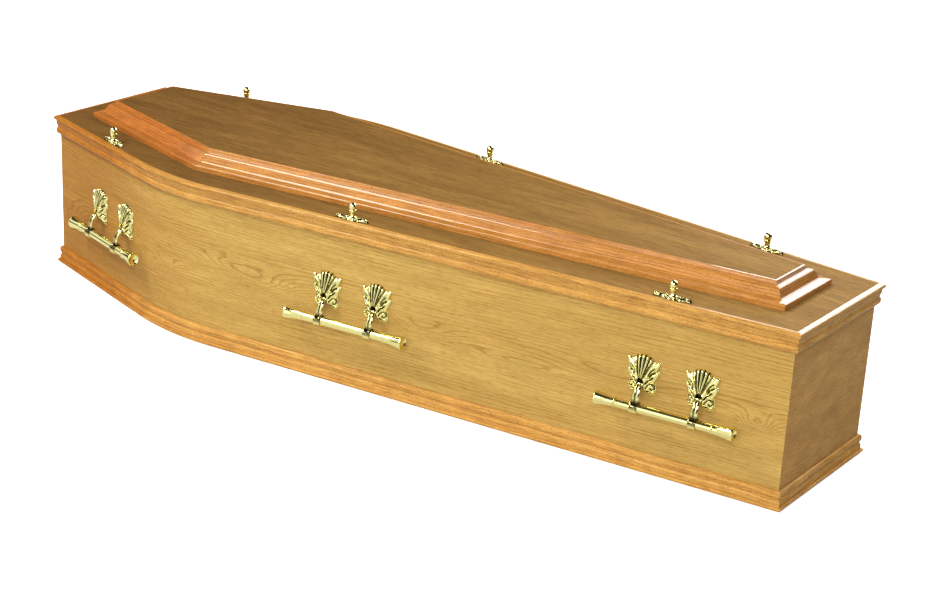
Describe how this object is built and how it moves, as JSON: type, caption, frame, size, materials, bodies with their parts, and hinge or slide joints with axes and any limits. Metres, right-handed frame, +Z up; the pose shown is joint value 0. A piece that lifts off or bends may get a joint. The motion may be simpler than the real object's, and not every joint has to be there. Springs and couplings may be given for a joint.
{
  "type": "wooden coffin",
  "caption": "Oak veneered coffin bent at the shoulders, with a plinth, a moulded lid with a framed raised panel, brass wreath screws and swinging bar handles",
  "frame": {"origin": "on the floor, under the middle of the whole coffin", "axes": "+X from the head end to the foot end, +Y to the far side, +Z up"},
  "size_m": [1.9458, 0.658, 0.4041],
  "materials": {
    "side_veneer": "golden crown-cut oak veneer on board, grain along the length, satin lacquer",
    "end_veneer": "oak veneer on board, grain level across the end, satin lacquer",
    "lid_veneer": "brown straight-grained oak veneer, grain along the length, satin lacquer",
    "moulding": "orange-brown solid wood mouldings, glossy lacquer",
    "bare_board": "plain unlacquered board",
    "plated_brass": "bright polished brass plate, pale yellow"
  },
  "bodies": {
    "box_and_lid": {"board_near": "side_veneer", "board_far": "side_veneer", "board_head": "end_veneer", "board_foot": "end_veneer", "base_board": "bare_board", "plinth_near": "moulding", "plinth_far": "moulding", "plinth_head": "moulding", "plinth_foot": "moulding", "lid_board": "lid_veneer", "lid_edge_near": "moulding", "lid_edge_far": "moulding", "lid_edge_head": "moulding", "lid_edge_foot": "moulding", "raised_frame_near_upper": "moulding", "raised_frame_near_lower": "moulding", "raised_frame_far_upper": "moulding", "raised_frame_far_lower": "moulding", "raised_frame_head": "moulding", "raised_frame_foot": "moulding", "raised_panel": "lid_veneer", "wreath_screw_near_head": "plated_brass", "wreath_screw_near_middle": "plated_brass", "wreath_screw_near_foot": "plated_brass", "wreath_screw_far_head": "plated_brass", "wreath_screw_far_middle": "plated_brass", "wreath_screw_far_foot": "plated_brass", "handle_near_head_plate_1": "plated_brass", "handle_near_head_plate_2": "plated_brass", "handle_near_middle_plate_1": "plated_brass", "handle_near_middle_plate_2": "plated_brass", "handle_near_foot_plate_1": "plated_brass", "handle_near_foot_plate_2": "plated_brass", "handle_far_head_plate_1": "plated_brass", "handle_far_head_plate_2": "plated_brass", "handle_far_middle_plate_1": "plated_brass", "handle_far_middle_plate_2": "plated_brass", "handle_far_foot_plate_1": "plated_brass", "handle_far_foot_plate_2": "plated_brass"},
    "handle_near_head": {"handle_near_head_arm_1": "plated_brass", "handle_near_head_arm_2": "plated_brass", "handle_near_head_bar": "plated_brass"},
    "handle_near_middle": {"handle_near_middle_arm_1": "plated_brass", "handle_near_middle_arm_2": "plated_brass", "handle_near_middle_bar": "plated_brass"},
    "handle_near_foot": {"handle_near_foot_arm_1": "plated_brass", "handle_near_foot_arm_2": "plated_brass", "handle_near_foot_bar": "plated_brass"},
    "handle_far_head": {"handle_far_head_arm_1": "plated_brass", "handle_far_head_arm_2": "plated_brass", "handle_far_head_bar": "plated_brass"},
    "handle_far_middle": {"handle_far_middle_arm_1": "plated_brass", "handle_far_middle_arm_2": "plated_brass", "handle_far_middle_bar": "plated_brass"},
    "handle_far_foot": {"handle_far_foot_arm_1": "plated_brass", "handle_far_foot_arm_2": "plated_brass", "handle_far_foot_bar": "plated_brass"}
  },
  "joints": [
    {"name": "handle_near_head_swing", "type": "hinge", "parent": "box_and_lid", "child": "handle_near_head", "pos_m": [-0.71486, -0.25699, 0.183], "axis": [-0.9581, 0.2863, 0], "range_deg": [0, 55]},
    {"name": "handle_near_middle_swing", "type": "hinge", "parent": "box_and_lid", "child": "handle_near_middle", "pos_m": [0.00507, -0.27967, 0.183], "axis": [-0.9943, -0.1065, 0], "range_deg": [0, 55]},
    {"name": "handle_near_foot_swing", "type": "hinge", "parent": "box_and_lid", "child": "handle_near_foot", "pos_m": [0.72807, -0.20221, 0.183], "axis": [-0.9943, -0.1065, 0], "range_deg": [0, 55]},
    {"name": "handle_far_head_swing", "type": "hinge", "parent": "box_and_lid", "child": "handle_far_head", "pos_m": [-0.71486, 0.25699, 0.183], "axis": [0.9581, 0.2863, 0], "range_deg": [0, 55]},
    {"name": "handle_far_middle_swing", "type": "hinge", "parent": "box_and_lid", "child": "handle_far_middle", "pos_m": [0.00507, 0.27967, 0.183], "axis": [0.9943, -0.1065, 0], "range_deg": [0, 55]},
    {"name": "handle_far_foot_swing", "type": "hinge", "parent": "box_and_lid", "child": "handle_far_foot", "pos_m": [0.72807, 0.20221, 0.183], "axis": [0.9943, -0.1065, 0], "range_deg": [0, 55]}
  ]
}
